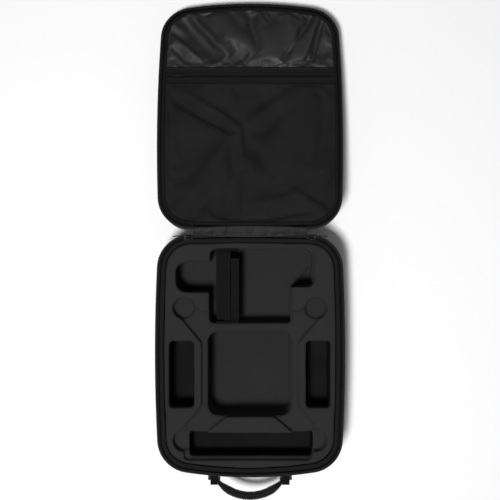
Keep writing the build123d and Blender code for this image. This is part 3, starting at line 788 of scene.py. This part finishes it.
# x and distance from the lid's far edge at both ends, width and rise of each gathered fold
satinFolds = [(-0.130, 0.030, -0.060, 0.118, 0.013, -0.010), (-0.118, 0.022, -0.040, 0.110, 0.011, 0.008),
              (-0.062, 0.030, 0.010, 0.100, 0.016, 0.006), (0.000, 0.022, 0.020, 0.110, 0.012, -0.004),
              (0.020, 0.050, 0.060, 0.120, 0.014, 0.006), (0.118, 0.026, 0.062, 0.118, 0.008, -0.008),
              (0.128, 0.030, 0.098, 0.120, 0.006, 0.008), (0.136, 0.036, 0.118, 0.120, 0.005, -0.007),
              (0.070, 0.020, 0.092, 0.120, 0.010, 0.006), (-0.148, 0.070, -0.090, 0.120, 0.007, 0.006),
              (-0.150, 0.090, -0.112, 0.124, 0.006, -0.005)]


def edgeShare(*runs):
    return min(1.0, *(max(0.0, run / ease) for run, ease in runs))


# Small gathers along the edge that is sewn to the zip tape
def puckers(x, y, edgeY):
    seed = satinLook["puckerSeed"]
    near = max(0.0, 1 - abs(edgeY - y) / satinLook["puckerReach"])
    wander = noise.noise(Vector((x * 18, seed, 0))) * 0.5
    size = 0.5 + noise.noise(Vector((x * 40, seed + 5, 0)))
    wave = math.sin(2 * math.pi * (x / satinLook["puckerPitch"] + wander))
    return satinLook["puckerRise"] * near * wave * size


def makeSatin():
    near, far = satinEnd, farEdge
    loop = panelOutline(pocket["inset"], near, far)
    corners = [min(loop, key=lambda p: p[0] + 9 * p[1]), min(loop, key=lambda p: -p[0] + 9 * p[1]),
               cornerOf(loop, 1, 1), cornerOf(loop, -1, 1)]
    if sum(a[0] * b[1] - b[0] * a[1] for a, b in zip(loop, loop[1:] + loop[:1])) < 0:
        loop = loop[::-1]
    satin = coonsGrid("satinPanel", loop, corners, pocket["cell"])
    for vertex in satin.data.vertices:
        x, q = vertex.co.x, vertex.co.y
        fromFar = far - q
        rim = edgeShare((satinLook["flatEdge"] - abs(x), satinLook["edgeEase"]),
                        (fromFar - satinLook["farHem"], satinLook["edgeEase"]),
                        (q - near, satinLook["nearEase"]))
        fine = noise.noise(Vector((x * satinLook["unevenScale"], q * satinLook["unevenScale"], 1.0)))
        vertex.co.z = rim * (foldHeight(x, fromFar, satinFolds) + puckers(x, q, near)
                             + satinLook["uneven"] * fine)
    clothSettle(satin, satinLook["grow"], satinLook["stiffness"], satinLook["bending"])
    capHeights(satin, satinLook["low"], satinLook["high"])
    for vertex in satin.data.vertices:
        vertex.co.z -= pocket["drop"]
    sheetPiece(satin, satinLook["thickness"], 1)
    settle(satin, lidPlace)
    outward(satin)
    smooth(satin, 75)
    finishPiece(satin, "lid", materials["shinySatin"], ["pocket_satin_panel"])


netFolds = [(-0.150, 0.168, -0.020, 0.250, 0.011, 0.007), (-0.140, 0.195, -0.030, 0.262, 0.010, -0.006),
            (0.105, 0.172, -0.010, 0.245, 0.013, 0.006), (0.130, 0.185, 0.020, 0.300, 0.016, 0.005),
            (-0.020, 0.250, -0.018, 0.330, 0.010, 0.006), (-0.012, 0.262, -0.050, 0.432, 0.014, -0.006),
            (-0.130, 0.415, -0.030, 0.262, 0.014, 0.006), (-0.110, 0.430, -0.045, 0.330, 0.012, -0.004),
            (0.012, 0.300, 0.050, 0.345, 0.014, -0.004), (-0.010, 0.405, 0.090, 0.380, 0.010, 0.006),
            (0.085, 0.378, 0.142, 0.420, 0.009, 0.007), (-0.030, 0.432, 0.130, 0.408, 0.008, -0.005),
            (0.145, 0.200, 0.128, 0.330, 0.010, -0.005), (-0.152, 0.200, -0.135, 0.360, 0.010, 0.005),
            (-0.030, 0.165, -0.022, 0.190, 0.008, -0.004)]
netPanel = {"grow": 0.022, "stiffness": 16.0, "bending": 0.6, "foldShare": 1.25, "low": -0.012,
            "high": 0.0072, "thickness": 0.0007, "cell": 0.004, "flatEdge": 0.158, "edgeEase": 0.01, "farEase": 0.008,
            "nearHem": 0.014, "uneven": 0.001, "unevenScale": 22}


def makeNetPanel():
    near, far = hingeY - halfLong, bandEnd
    loop = panelOutline(pocket["inset"], near, far)
    if sum(a[0] * b[1] - b[0] * a[1] for a, b in zip(loop, loop[1:] + loop[:1])) < 0:
        loop = loop[::-1]
    corners = [cornerOf(loop, -1, -1), cornerOf(loop, 1, -1),
               max(loop, key=lambda p: p[0] + 9 * p[1]), max(loop, key=lambda p: -p[0] + 9 * p[1])]
    net = coonsGrid("netPanel", loop, corners, netPanel["cell"])
    for vertex in net.data.vertices:
        x, q = vertex.co.x, vertex.co.y
        fromFar = farEdge - q
        rim = edgeShare((netPanel["flatEdge"] - abs(x), netPanel["edgeEase"]), (far - q, netPanel["farEase"]),
                        (q - near - netPanel["nearHem"], netPanel["edgeEase"]))
        fine = noise.noise(Vector((x * netPanel["unevenScale"], q * netPanel["unevenScale"], 4.0)))
        vertex.co.z = rim * (netPanel["foldShare"] * foldHeight(x, fromFar, netFolds)
                             + netPanel["uneven"] * fine)
    clothSettle(net, netPanel["grow"], netPanel["stiffness"], netPanel["bending"])
    capHeights(net, netPanel["low"], netPanel["high"])
    for vertex in net.data.vertices:
        vertex.co.z -= pocket["drop"]
    sheetPiece(net, netPanel["thickness"], 1)
    settle(net, lidPlace)
    outward(net)
    smooth(net, 75)
    finishPiece(net, "lid", materials["knittedNet"], ["pocket_mesh_panel"])


bandLook = {"halfGap": 0.0024, "hem": 0.0008, "thickness": 0.0010, "sag": 0.0009, "rise": 0.0005,
            "sideInset": 0.0142, "coilEnd": 0.1525, "closingRun": 0.003, "coilHem": 0.0022, "sewnHem": 0.0018,
            "hemWide": 0.0012, "tuck": 0.0012, "cutWide": 0.320, "sewnWide": 0.318}


# A zip tape: flat cloth with a rolled hem beside the coil and one at its sewn edge
def makeBand(name, near, far, node):
    rows, columns = 14, 90
    points, uvs = [], []
    sides = lidOutline + lidInward * (bandLook["sideInset"] - outlineSlack)
    right = sides[(sides[:, 0] > 0)]
    order = np.argsort(right[:, 1])
    for j in range(rows + 1):
        edgeQ = near + (far - near) * j / rows
        q = edgeQ
        half = float(np.interp(q, right[order, 1], right[order, 0]))
        fromCoil = abs(q - zipMiddle) - bandLook["halfGap"]
        fromEdge = min(abs(q - near), abs(q - far)) if abs(q - zipMiddle) > 0.01 else 1.0
        lift = bandLook["hem"] * sum(math.exp(-((away - bandLook[hem]) / bandLook["hemWide"]) ** 2)
                                     for away, hem in ((fromCoil, "coilHem"), (fromEdge, "sewnHem")))
        for i in range(columns + 1):
            x = half * (2 * i / columns - 1)
            run = bandLook["closingRun"]
            closing = max(0.0, min(1.0, (abs(x) - bandLook["coilEnd"]) / run)) * max(0.0, 1 - fromCoil / run)
            q = edgeQ + (zipMiddle - edgeQ) * closing   # the two tapes meet beyond the coil's ends
            sag = bandLook["sag"] * noise.noise(Vector((x * 22, q * 60, 7.0)))
            points.append((x, q, bandLook["rise"] + lift + sag - pocket["drop"]))
            uvs.append((x, q))
    wide = columns + 1
    faces = [(j * wide + i, j * wide + i + 1, (j + 1) * wide + i + 1, (j + 1) * wide + i)
             for j in range(rows) for i in range(columns)]
    band = meshPiece(name, points, faces, uvs)
    sheetPiece(band, bandLook["thickness"], 1)
    settle(band, lidPlace)
    outward(band)
    smooth(band, 70)
    finishPiece(band, "lid", materials["zipTapeCloth"], [node])


pocketZip = {"toothPitch": 0.0022, "toothLong": 0.0040, "toothRadius": 0.0007,
             "coreRadius": 0.0008, "coreApart": 0.0011, "halfLength": 0.154}


def makePocketZip():
    height = bandLook["rise"] - pocket["drop"]
    spots = np.arange(-pocketZip["halfLength"], pocketZip["halfLength"], pocketZip["toothPitch"])
    count = len(spots)
    teeth = toothRows("pocketTeeth", [Vector((x, zipMiddle, height)) for x in spots],
                      [Vector((1, 0, 0))] * count, [Vector((0, 1, 0))] * count, [Vector((0, 0, 1))] * count,
                      pocketZip)
    cords = []
    for side in (-1, 1):
        line = [(end * pocketZip["halfLength"], zipMiddle + side * pocketZip["coreApart"], height)
                for end in (-1, 0, 1)]
        cords.append(sweep("pocketCord", line, [(0, 1, 0)] * 3, [(0, 0, 1)] * 3,
                           [ovalSection(pocketZip["coreRadius"], pocketZip["coreRadius"], 2, 8)] * 3, False))
    coil = joined("pocketCoil", [teeth, *cords])
    settle(coil, lidPlace)
    smooth(coil, 50)
    finishPiece(coil, "lid", materials["coilNylon"], ["pocket_zip_coil"])


makeBand("zipBandUpper", zipMiddle + bandLook["halfGap"], satinEnd + bandLook["tuck"],
         "pocket_zip_tape_upper")
makeBand("zipBandLower", bandEnd - bandLook["tuck"], zipMiddle - bandLook["halfGap"],
         "pocket_zip_tape_lower")
makePocketZip()
makeSatin()
makeNetPanel()
print("lid pocket made")

# Hinge: one strip of gathered fabric that bends between base and lid
hingeCloth = {"deep": 0.013, "inset": 0.0063, "pucker": 0.0011, "pitch": 0.009, "thickness": 0.001,
              "rows": 26, "columns": 120, "dip": 0.0016, "bow": 0.004, "endEase": 0.006, "insideShare": 0.25,
              "below": 0.0012, "bend": 0.011}


def makeHingeCloth():
    h = hingeCloth
    reach = hingeY - halfLong + h["inset"]   # from the hinge line to where the strip goes down inside a rim
    points, uvs = [], []
    total = 2 * (reach + h["deep"])
    for j in range(h["rows"] + 1):
        run = total * j / h["rows"] - total / 2
        side = 1 if run > 0 else -1
        away = min(abs(run), reach)
        down = max(0.0, abs(run) - reach)
        for i in range(h["columns"] + 1):
            x = hingeHalf * (2 * i / h["columns"] - 1)
            bow = h["bow"] * (x / hingeHalf) ** 2 * (away / reach)
            end = min(1.0, (hingeHalf - abs(x)) / h["endEase"])
            broad = noise.noise(Vector((x / h["pitch"], run * 40, 2.0)))
            fold = broad + 0.6 * noise.noise(Vector((x / h["pitch"] * 2.3, run * 90, 5.0)))
            free = 1 if down == 0 else h["insideShare"]
            lift = -h["dip"] * (1 - away / reach) + h["pucker"] * fold * end * free - h["below"]
            if side < 0:
                points.append(Vector((x, hingeY - (away - bow), rimZ + lift - down)))
            else:
                points.append(hingePoint + acrossX * x + lidAway * (away - bow) + lidUp * (lift - down))
            uvs.append((x, run))
    wide = h["columns"] + 1
    faces = [(j * wide + i, j * wide + i + 1, (j + 1) * wide + i + 1, (j + 1) * wide + i)
             for j in range(h["rows"]) for i in range(h["columns"])]
    strip = meshPiece("hingeStrip", points, faces, uvs)
    sheetPiece(strip, h["thickness"], 1)
    outward(strip)
    smooth(strip, 80)
    finishPiece(strip, None, materials["hingeSatin"],
                ["hinge_gusset_base", "hinge_gusset_lid"])
    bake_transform(strip)


makeHingeCloth()
print("hinge strip made")


# Controller strap: two webbing lengths, their anchors, and the hook patch
straps = {"thick": 0.0022, "loopRise": 0.0055, "hookRise": 0.0035, "loopShort": 0.001, "hookShort": 0.012,
          "loopDrop": -0.002, "hookLift": 0.001, "slack": 0.0005, "eyeRadius": 0.0021, "stitchIn": 0.0028,
          "patchCorner": 0.0005, "tabFold": 0.0012}
loopPivot = Vector(joints["loop_strap_lift"]["pos_m"])
hookPivot = Vector(joints["hook_strap_drop"]["pos_m"])


def archPoints(start, end, rise, count):
    chord = end - start
    half = chord.length / 2
    radius = (half ** 2 + rise ** 2) / (2 * rise)
    swing = 2 * math.asin(half / radius)
    way = chord.normalized()
    upward = Vector((0, -way.z, way.y))
    if upward.z < 0:
        upward = -upward
    centre = (start + end) / 2 - upward * (radius - rise)
    line, ups = [], []
    for k in range(count + 1):
        a = swing * (k / count - 0.5)
        up = upward * math.cos(a) + way * math.sin(a)
        line.append(centre + up * radius)
        ups.append(up)
    return line, ups


def webbing(name, x0, x1, line, ups, thick, tipRound=0.004):
    middle = (x0 + x1) / 2
    centres = [Vector((middle, p.y, p.z)) for p in line]
    sections = []
    run = 0.0
    total = sum((b - a).length for a, b in zip(centres, centres[1:]))
    for k in range(len(centres)):
        if k:
            run += (centres[k] - centres[k - 1]).length
        fromTip = min(1.0, (total - run) / tipRound)
        narrow = 1 - 0.12 * (1 - fromTip) ** 2
        sections.append(ovalSection((x1 - x0) / 2 * narrow, thick / 2, 6, 24))
    return sweep(name, centres, [(1, 0, 0)] * len(centres), ups, sections, False)


def stitchRow(name, spots, ways, ups, pitch=0.0032, radius=0.00035):
    look = {"toothLong": pitch * 0.72, "toothRadius": radius}
    return toothRows(name, spots, [w.cross(u) for w, u in zip(ways, ups)], ways, ups, look)


def rowAlong(line, ups, shift, lift, pitch=0.0034):
    run = np.concatenate([[0], np.cumsum([(b - a).length for a, b in zip(line, line[1:])])])
    at = np.arange(0.004, run[-1] - 0.004, pitch)
    spots, ways, high = [], [], []
    for d in at:
        k = min(int(np.searchsorted(run, d, side="right")) - 1, len(line) - 2)
        s = (d - run[k]) / (run[k + 1] - run[k])
        way = (line[k + 1] - line[k]).normalized()
        spots.append(line[k].lerp(line[k + 1], s) + shift + ups[k] * lift)
        ways.append(way)
        high.append(ups[k])
    return spots, ways, high


def makeStraps():
    loopX = [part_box("loop_strap")[k].x for k in range(2)]
    hookX = [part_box("hook_strap")[k].x for k in range(2)]
    loopEnd = Vector((0, hookPivot.y + straps["loopShort"], loopPivot.z + straps["loopDrop"]))
    hookEnd = Vector((0, loopPivot.y - straps["hookShort"], hookPivot.z + straps["hookLift"]))
    for name, body, bounds, start, end, rise in (
            ("loopStrapWebbing", "loop_strap", loopX, loopPivot, loopEnd, straps["loopRise"]),
            ("hookStrapWebbing", "hook_strap", hookX, hookPivot, hookEnd, straps["hookRise"])):
        line, ups = archPoints(Vector((0, start.y, start.z)), end, rise, 44)
        for k, point in enumerate(line):   # a little slack shows as waves along the webbing
            point.z += straps["slack"] * math.sin(k * 0.45 + start.y * 40)
        band = webbing(name, bounds[0], bounds[1], line, ups, straps["thick"])
        ring = ovalSection(straps["eyeRadius"], straps["eyeRadius"], 2, 18)
        eye = sweep(name + "Eye", [Vector((x, start.y, start.z)) for x in bounds], [(0, 1, 0)] * 2,
                    [(0, 0, 1)] * 2, [ring] * 2, False)
        rows = []
        for edge in (bounds[0] + straps["stitchIn"], bounds[1] - straps["stitchIn"]):
            row = rowAlong(line, ups, Vector((edge, 0, 0)), straps["thick"] / 2)
            rows.append(stitchRow("strapStitches", *row))
        smooth(band, 50)
        smooth(eye, 50)
        whole = joined(name, [band, eye])
        finishPiece(whole, body, materials["strapWebbing"], [body])
        threads = joined(name + "Stitches", rows)
        smooth(threads, 50)
        finishPiece(threads, body, materials["blackThread"])
    patch = cadCopy("hookPatch", "strap_hook_patch")
    bevel = patch.modifiers.new("softCorners", "BEVEL")
    bevel.width, bevel.segments = straps["patchCorner"], 3
    applyModifiers(patch)
    smooth(patch)
    finishPiece(patch, "hook_strap", materials["hookPile"], ["strap_hook_patch"])
    for node, name in (("strap_anchor", "strapAnchorTab"), ("strap_keeper", "strapKeeperTab")):
        tab = cadCopy(name, node)
        bevel = tab.modifiers.new("foldedEdges", "BEVEL")
        bevel.width, bevel.segments = straps["tabFold"], 4
        applyModifiers(tab)
        smooth(tab)
        finishPiece(tab, "base", materials["hookPile"], [node])


makeStraps()
print("controller strap made")


# Handle: a padded arch with a seam along both sides, on webbing ends
handleLook = {"outerRadius": 0.0865, "halfThick": 0.0065, "halfTall": 0.012, "endTall": 0.007,
              "endThick": 0.0032,
              "taper": 0.028, "seam": 0.0011, "steps": 72, "startBack": 0.0085, "plump": 0.02,
              "loopX": (0.060, 0.074), "loopTail": 0.0150, "loopRadius": 0.0042, "loopThick": 0.0022}


def makeHandle():
    low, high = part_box("handle")
    pivot = Vector(joints["handle_swing"]["pos_m"])
    radius = handleLook["outerRadius"] - handleLook["halfThick"]
    centre = Vector((0, low.y + handleLook["outerRadius"], pivot.z))
    startY = pivot.y - handleLook["startBack"]
    half = math.acos((centre.y - startY) / radius)
    steps = handleLook["steps"]
    centres, outs, sections, seams = [], [], [], []
    for k in range(steps + 1):
        a = half * (2 * k / steps - 1)
        out = Vector((math.sin(a), -math.cos(a), 0))
        centres.append(centre + out * radius)
        outs.append(out)
        fromEnd = min(1.0, radius * (half - abs(a)) / handleLook["taper"])
        ease = fromEnd * fromEnd * (3 - 2 * fromEnd)
        thick = handleLook["endThick"] + (handleLook["halfThick"] - handleLook["endThick"]) * ease
        tall = handleLook["endTall"] + (handleLook["halfTall"] - handleLook["endTall"]) * ease
        plump = 1 + handleLook["plump"] * math.sin(k * 0.9)
        sections.append(ovalSection(thick * plump, tall, 2.5, 32))
        seams.append((thick * plump, tall))
    up = [(0, 0, 1)] * len(centres)
    grip = sweep("handleGrip", centres, outs, up, sections, False)
    smooth(grip, 60)
    finishPiece(grip, "handle", materials["handleCloth"], ["handle"])
    welts, threads = [], []
    for side in (-1, 1):
        line = [c + Vector((0, 0, side * (s[1] - 0.0002))) for c, s in zip(centres, seams)]
        ring = [ovalSection(handleLook["seam"], handleLook["seam"], 2, 10)] * len(line)
        welts.append(sweep("handleWelt", line, outs, up, ring, False))
        for face in (-1, 1):
            row = [c + o * (face * (s[0] * 0.86)) + Vector((0, 0, side * s[1] * 0.70))
                   for c, s, o in zip(centres, seams, outs)]
            ups = [(o * face * 0.8 + Vector((0, 0, side * 0.6))).normalized() for o in outs]
            threads.append(stitchRow("handleStitches", *rowAlong(row, ups, Vector(), 0.0002, 0.0036)))
    welt = joined("handleWelts", welts)
    smooth(welt, 60)
    finishPiece(welt, "handle", materials["bindingTape"])
    stitches = joined("handleStitches", threads)
    smooth(stitches, 50)
    finishPiece(stitches, "handle", materials["blackThread"])
    turn, tail = handleLook["loopRadius"], handleLook["loopTail"]
    loops = []
    for side in (-1, 1):
        line, ups = [], []
        for k in range(7):
            line.append(Vector((0, pivot.y - tail + tail * k / 6, pivot.z + turn)))
            ups.append(Vector((0, 0, 1)))
        for k in range(1, 16):
            a = math.pi / 2 - math.pi * k / 16
            way = Vector((0, math.cos(a), math.sin(a)))
            line.append(pivot + way * turn)
            ups.append(way)
        for k in range(7):
            line.append(Vector((0, pivot.y - tail * k / 6, pivot.z - turn)))
            ups.append(Vector((0, 0, -1)))
        bounds = sorted(side * x for x in handleLook["loopX"])
        loops.append(webbing("handleLoop", bounds[0], bounds[1], line, ups, handleLook["loopThick"], 0.002))
    ends = joined("handleLoops", loops)
    smooth(ends, 50)
    finishPiece(ends, "handle", materials["strapWebbing"])


makeHandle()
print("handle made")


# Hardware: sliders, pulls and mounts with softened edges
hardware = {
    "zip_slider_right": ("zipSliderRight", 0.0005, "darkMetal", "dark_steel"),
    "zip_slider_left": ("zipSliderLeft", 0.0005, "darkMetal", "dark_steel"),
    "zip_pull_right": ("zipPullRight", 0.0006, "darkMetal", "dark_steel"),
    "zip_pull_left": ("zipPullLeft", 0.0006, "darkMetal", "dark_steel"),
    "pocket_slider": ("pocketSlider", 0.0004, "darkMetal", "dark_steel"),
    "pocket_pull": ("pocketPull", 0.0005, "darkMetal", "dark_steel"),
    "handle_mount_right": ("handleMountRight", 0.0008, "mountPlastic", "mount_plastic"),
    "handle_mount_left": ("handleMountLeft", 0.0008, "mountPlastic", "mount_plastic"),
    "handle_rivets": ("handleRivets", 0.0005, "darkMetal", "dark_steel"),
}
bodyOf = {node: body for body, nodes in frame["record"]["behaviour"]["bodies"].items() for node in nodes}


def makeHardware(node, name, width, finish, slot):
    piece = cadCopy(name, node)
    editMesh(piece, lambda: bpy.ops.mesh.dissolve_limited(angle_limit=math.radians(2)))
    bevel = piece.modifiers.new("softEdges", "BEVEL")
    bevel.width, bevel.segments, bevel.limit_method = width, 3, "ANGLE"
    bevel.angle_limit = math.radians(40)
    bevel.use_clamp_overlap = True
    applyModifiers(piece)
    smooth(piece, 35)
    finishPiece(piece, bodyOf[node], materials[finish], [node])


for node, values in hardware.items():
    makeHardware(node, *values)
print("hardware made")

# Lid lining: cloth glued over the inside of the lid, with slack ripples
liningLook = {"voxel": 0.0028, "grown": 0.0006, "ripple": 0.0022, "rippleSize": 0.03}


def makeLining():
    lining = cadCopy("lidLining", "lid_lining")
    thicker = lining.modifiers.new("thicker", "DISPLACE")
    thicker.strength, thicker.mid_level = liningLook["grown"], 0.0
    remesh = lining.modifiers.new("oneCloth", "REMESH")
    remesh.mode, remesh.voxel_size = "VOXEL", liningLook["voxel"] / 2
    soften = lining.modifiers.new("softEdges", "SMOOTH")
    soften.factor, soften.iterations = 0.5, 3
    applyModifiers(lining)
    ripples = bpy.data.textures.new("liningRipples", "CLOUDS")
    ripples.noise_scale = liningLook["rippleSize"]
    wave = lining.modifiers.new("slack", "DISPLACE")
    wave.texture, wave.texture_coords, wave.direction = ripples, "LOCAL", "Z"
    wave.strength, wave.mid_level = liningLook["ripple"], 0.5
    fewer = lining.modifiers.new("fewer", "DECIMATE")
    fewer.ratio = 0.5
    applyModifiers(lining)
    smooth(lining, 70)
    finishPiece(lining, "lid", materials["liningCloth"], ["lid_lining"])


makeLining()
print("lid lining made")

# The CAD pieces that stay
kept = {"base_shell": "shellFabric", "lid_shell": "shellFabric", "base_zip_stops": "darkMetal",
        "lid_zip_stops": "darkMetal", "handle_pin_right": "darkMetal", "handle_pin_left": "darkMetal"}
for node, finish in kept.items():
    shown = frame["nodes"][node]
    shown.data.materials.clear()
    shown.data.materials.append(materials[finish])

# Floor, light and camera
room = {"floorSize": 8.0, "sky": 0.13, "keyPower": 89.0, "keySize": 0.36, "keyPlace": (-0.33, -0.30, 3.1),
        "boxPower": 3.5, "boxSize": 1.1, "boxPlace": (0.25, 1.95, 2.5), "middle": (0, 0.19, 0.05),
        "cameraHeight": 2.058, "cameraY": 0.194, "lens": 74.75}

bpy.ops.object.select_all(action="DESELECT")
bpy.ops.mesh.primitive_plane_add(size=room["floorSize"], location=(0, 0.2, -0.0004))
floor = bpy.context.active_object
floor.name = "floor"
floorPaint = bpy.data.materials.new("palePaper")
floorPaint.use_nodes = True
floorPaint.node_tree.nodes["Principled BSDF"].inputs["Base Color"].default_value = (1.0, 1.0, 1.0, 1)
floorPaint.node_tree.nodes["Principled BSDF"].inputs["Roughness"].default_value = 0.9
floor.data.materials.append(floorPaint)

world = bpy.data.worlds.new("paleRoom")
bpy.context.scene.world = world
world.use_nodes = True
world.node_tree.nodes["Background"].inputs["Color"].default_value = (1, 1, 1, 1)
world.node_tree.nodes["Background"].inputs["Strength"].default_value = room["sky"]


def areaLight(name, place, size, power):
    bpy.ops.object.light_add(type="AREA", location=place)
    lamp = bpy.context.active_object
    lamp.name = name
    lamp.data.size, lamp.data.energy = size, power
    lamp.rotation_euler = (Vector(room["middle"]) - Vector(place)).to_track_quat("-Z", "Y").to_euler()


areaLight("keyLight", room["keyPlace"], room["keySize"], room["keyPower"])
areaLight("softBox", room["boxPlace"], room["boxSize"], room["boxPower"])
bpy.ops.object.camera_add(location=(0, room["cameraY"], room["cameraHeight"]), rotation=(0, 0, 0))
camera = bpy.context.active_object
camera.data.lens = room["lens"]
camera.data.sensor_width = 36
bpy.context.scene.camera = camera
bpy.context.scene.view_settings.view_transform = "Standard"
